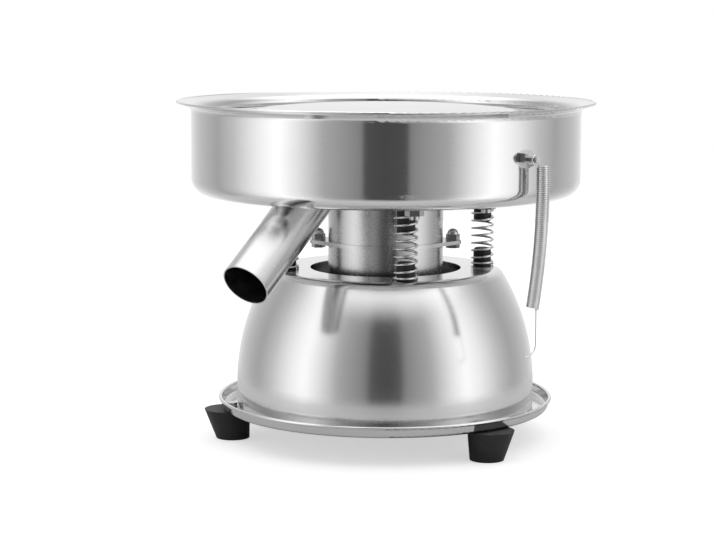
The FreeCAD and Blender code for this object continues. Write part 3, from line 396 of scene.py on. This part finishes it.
def hanging_spring():
    """Close-wound extension spring with its loop on the stud and a long wire hook."""
    loop = HANGER_LOOP_RADIUS
    body_side = loop + HANGER_RADIUS - HANGER_WIRE / 2
    body_top = loop + HANGER_WIRE
    body_end = body_top + HANGER_LENGTH
    top = (body_side, body_top)
    middle = (body_side + HANGER_BOW - HANGER_DRIFT / 2, (body_top + body_end) / 2)
    bottom = (body_side - HANGER_DRIFT, body_end)
    cx, cy = circle_through(top, middle, bottom)
    radius = math.hypot(top[0] - cx, top[1] - cy)
    start = math.atan2(top[1] - cy, top[0] - cx)
    end = math.atan2(bottom[1] - cy, bottom[0] - cx)
    out = polar(STUD_AZIMUTH, 1.0, 0.0)
    ring = HANGER_RADIUS - HANGER_WIRE / 2
    length = radius * abs(end - start)
    turns = round(length / HANGER_PITCH) + 0.5
    points = []
    for i in range(LOOP_STEPS):
        a = LOOP_SWEEP - LOOP_SWEEP * i / LOOP_STEPS
        points.append(hanger_point(loop * math.cos(a), -loop * math.sin(a)))
    steps = int(turns * HANGER_STEPS)
    for i in range(steps + 1):
        s = i / steps
        a = start + (end - start) * s
        ray = (math.cos(a), math.sin(a))
        phase = 2 * math.pi * turns * s
        offset = ring * math.cos(phase)
        centre = (cx + ray[0] * (radius - offset), cy + ray[1] * (radius - offset))
        points.append(hanger_point(*centre) + out * (ring * math.sin(phase)))
    coil = tube_mesh("hanging_coil", points, HANGER_WIRE / 2, HANGER_SIDES, out)
    hook_side = bottom[0] + HANGER_RADIUS - HOOK_WIRE
    knee = body_end + HOOK_DROP
    hook = [hanger_point(hook_side, body_end - HOOK_START)]
    for i in range(HOOK_STEPS):
        hook.append(hanger_point(hook_side, body_end + HOOK_DROP * (i + 1) / HOOK_STEPS))
    for i in range(1, BEND_STEPS + 1):
        a = math.pi / 2 * i / BEND_STEPS
        side = hook_side - HOOK_BEND * (1 - math.cos(a))
        hook.append(hanger_point(side, knee + HOOK_BEND * math.sin(a)))
    hook.append(hanger_point(hook_side - HOOK_BEND * 1.5, knee + HOOK_BEND))
    wire = tube_mesh("hanging_hook", hook, HOOK_WIRE / 2, HANGER_SIDES, out)
    for piece in (coil, wire):
        piece.data.materials.append(MATERIALS["spring"])
        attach(piece, "hanging_spring")
    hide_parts("hold_down_spring")


for number, azimuth in enumerate(SPRING_AZIMUTHS, 1):
    support_coil(number, azimuth)
hanging_spring()


# ------------------------------------------------------------ studio
def studio_world():
    """White to the camera. To the object: bright at both sides, darker on the camera's side."""
    world = bpy.data.worlds.new("studio")
    bpy.context.scene.world = world
    world.use_nodes = True
    t = Tree(world.node_tree)
    output = t.add("ShaderNodeOutputWorld")
    x, y, z = t.separate(t.add("ShaderNodeTexCoord").outputs["Generated"])
    level = t.math("SQRT", t.math("ADD", t.math("MULTIPLY", x, x), t.math("MULTIPLY", y, y)))
    facing = t.math("DIVIDE", t.math("MULTIPLY", y, -1.0), level)
    around = t.math("DIVIDE", t.math("ARCCOSINE", facing), math.pi)
    stops = [(0.000, 0.075), (0.068, 0.085), (0.076, 0.26), (0.20, 0.46), (0.285, 0.95), (0.36, 1.30),
             (0.44, 1.05), (0.55, 0.62), (0.64, 0.44), (0.78, 0.62), (0.90, 0.85), (1.0, 0.95)]
    band = t.ramp(around, stops)
    up = t.ramp(t.math("ARCSINE", z), [(0.0, 0.0), (0.62, 0.0), (1.0, 1.0)])
    mixed = t.add("ShaderNodeMix", data_type="RGBA")
    t.link(up, mixed.inputs[0])
    t.link(band, mixed.inputs[6])
    mixed.inputs[7].default_value = (1.6, 1.6, 1.6, 1.0)
    light = t.add("ShaderNodeBackground")
    t.link(mixed.outputs[2], light.inputs[0])
    white = t.add("ShaderNodeBackground")
    white.inputs[0].default_value = (1.0, 1.0, 1.0, 1.0)
    pick = t.add("ShaderNodeMixShader")
    t.link(t.add("ShaderNodeLightPath").outputs["Is Camera Ray"], pick.inputs[0])
    t.link(light.outputs[0], pick.inputs[1])
    t.link(white.outputs[0], pick.inputs[2])
    t.link(pick.outputs[0], output.inputs[0])


def studio_floor():
    """Pale round floor that keeps the object's shadow."""
    mesh = bpy.data.meshes.new("floor")
    angles = [2 * math.pi * k / FLOOR_SIDES for k in range(FLOOR_SIDES)]
    ring = [(FLOOR_RADIUS * math.cos(a), FLOOR_RADIUS * math.sin(a), FLOOR_LEVEL) for a in angles]
    mesh.from_pydata(ring, [], [tuple(range(FLOOR_SIDES))])
    floor = bpy.data.objects.new("floor", mesh)
    bpy.context.scene.collection.objects.link(floor)
    material = bpy.data.materials.new("pale_floor")
    material.use_nodes = True
    t = Tree(material.node_tree)
    output = t.add("ShaderNodeOutputMaterial")
    diffuse = t.add("ShaderNodeBsdfDiffuse")
    diffuse.inputs[0].default_value = (0.62, 0.62, 0.62, 1.0)
    glow = t.add("ShaderNodeEmission")
    path = t.add("ShaderNodeLightPath")
    t.link(t.math("MULTIPLY", path.outputs["Is Camera Ray"], 0.55), glow.inputs[1])
    both = t.add("ShaderNodeAddShader")
    t.link(diffuse.outputs[0], both.inputs[0])
    t.link(glow.outputs[0], both.inputs[1])
    x, y, z = t.separate(object_coordinates(t))
    radius = t.math("SQRT", t.math("ADD", t.math("MULTIPLY", x, x), t.math("MULTIPLY", y, y)))
    beyond = t.ramp(radius, [(0.30, 0.0), (0.45, 1.0)])
    clear = t.add("ShaderNodeBsdfTransparent")
    pick = t.add("ShaderNodeMixShader")
    t.link(t.math("MULTIPLY", path.outputs["Is Glossy Ray"], beyond), pick.inputs[0])
    t.link(both.outputs[0], pick.inputs[1])
    t.link(clear.outputs[0], pick.inputs[2])
    t.link(pick.outputs[0], output.inputs[0])
    floor.data.materials.append(material)


def photo_camera():
    """Camera fitted to the photo."""
    camera = bpy.data.cameras.new("camera")
    camera.sensor_width = CAMERA_SENSOR
    camera.lens = CAMERA_LENS
    camera.shift_x, camera.shift_y = CAMERA_SHIFT
    camera.clip_start, camera.clip_end = CAMERA_CLIP
    obj = bpy.data.objects.new("camera", camera)
    tilt = Matrix.Rotation(math.radians(90.0 - CAMERA_DOWN), 4, "X")
    obj.matrix_world = Matrix.Translation(CAMERA_PLACE) @ tilt @ Matrix.Rotation(CAMERA_ROLL, 4, "Z")
    bpy.context.scene.collection.objects.link(obj)
    bpy.context.scene.camera = obj


studio_world()
studio_floor()
photo_camera()
bpy.context.scene.view_settings.view_transform = "Standard"
